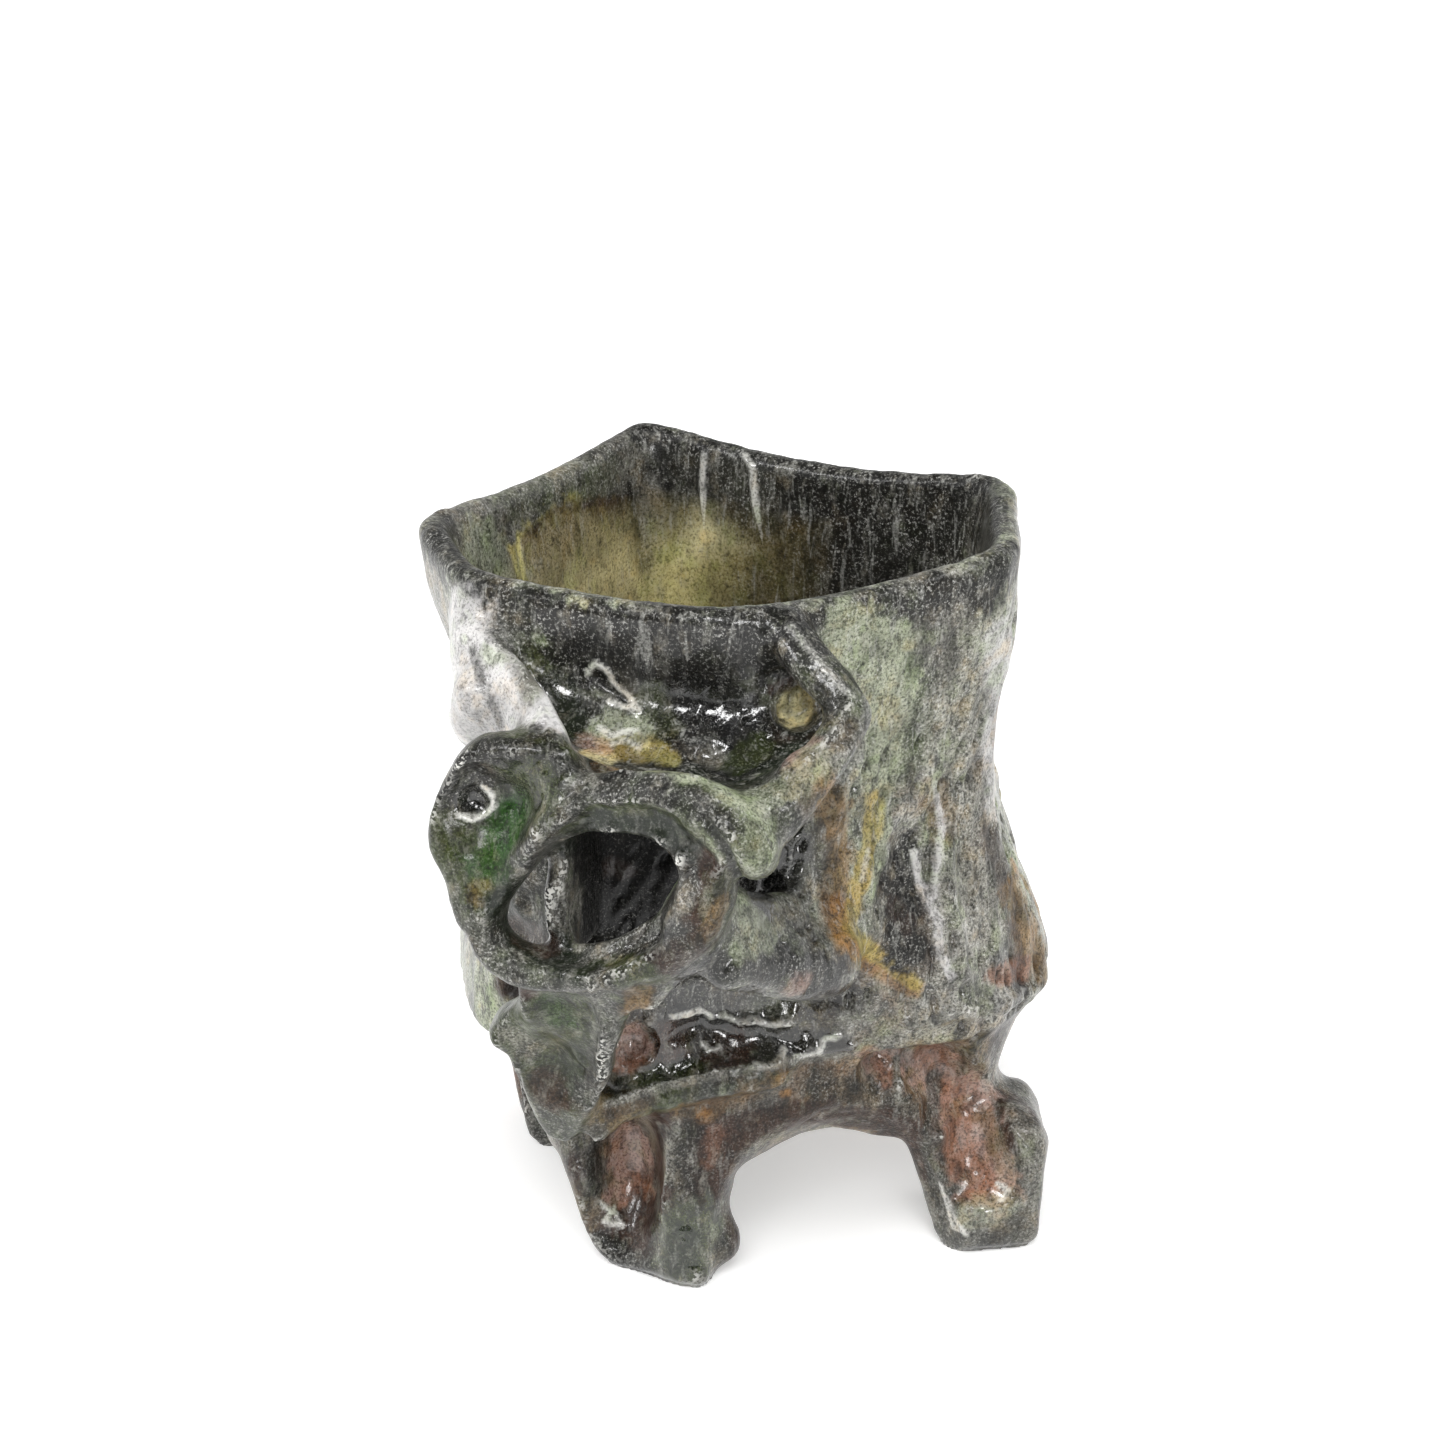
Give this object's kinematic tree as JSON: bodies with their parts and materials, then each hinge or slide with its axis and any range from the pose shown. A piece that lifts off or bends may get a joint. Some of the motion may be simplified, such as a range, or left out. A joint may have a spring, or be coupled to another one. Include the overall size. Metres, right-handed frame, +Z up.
{
  "type": "mug",
  "caption": "Hand-built sculptural stoneware mug: paddled cup on a carved pedestal of arched legs, with a bone-like handle of finger ring, dished wings and thumb rest.",
  "frame": {"origin": "centre of the bounding box's bottom, on the table under the legs", "axes": "+Z up through the mouth; -Y is the front, where the handle stands a little to the left; +X is the belly's flared right side"},
  "size_m": [0.0964, 0.107, 0.1164],
  "materials": {
    "dark_mottled_glaze": "charcoal and grey speckled gloss glaze with green drifts and a frosted, pitted edge",
    "olive_pooled_glaze": "glossy olive and khaki glaze, pooled over charcoal",
    "rust_flashed_glaze": "satin grey-green glaze broken by rust and pinkish brown where it runs thin",
    "bone_grey_glaze": "granular grey glaze, paler and rougher on the ridges",
    "copper_green_glaze": "glossy moss green glaze pooled in the dishes, charcoal and pitted at the edges"
  },
  "bodies": {
    "root": {"cup_wall": "dark_mottled_glaze", "cup_floor": "olive_pooled_glaze", "foot_deck": "rust_flashed_glaze", "front_left_leg": "rust_flashed_glaze", "front_right_leg": "rust_flashed_glaze", "back_right_leg": "rust_flashed_glaze", "back_left_leg": "rust_flashed_glaze", "finger_ring": "bone_grey_glaze", "rim_strap": "bone_grey_glaze", "left_fold": "bone_grey_glaze", "thumb_rest": "dark_mottled_glaze", "side_arm": "bone_grey_glaze", "upper_wing": "copper_green_glaze", "knuckle_lobe": "bone_grey_glaze", "lower_wing": "copper_green_glaze", "lower_sill": "copper_green_glaze", "rear_brace": "dark_mottled_glaze"}
  },
  "joints": []
}
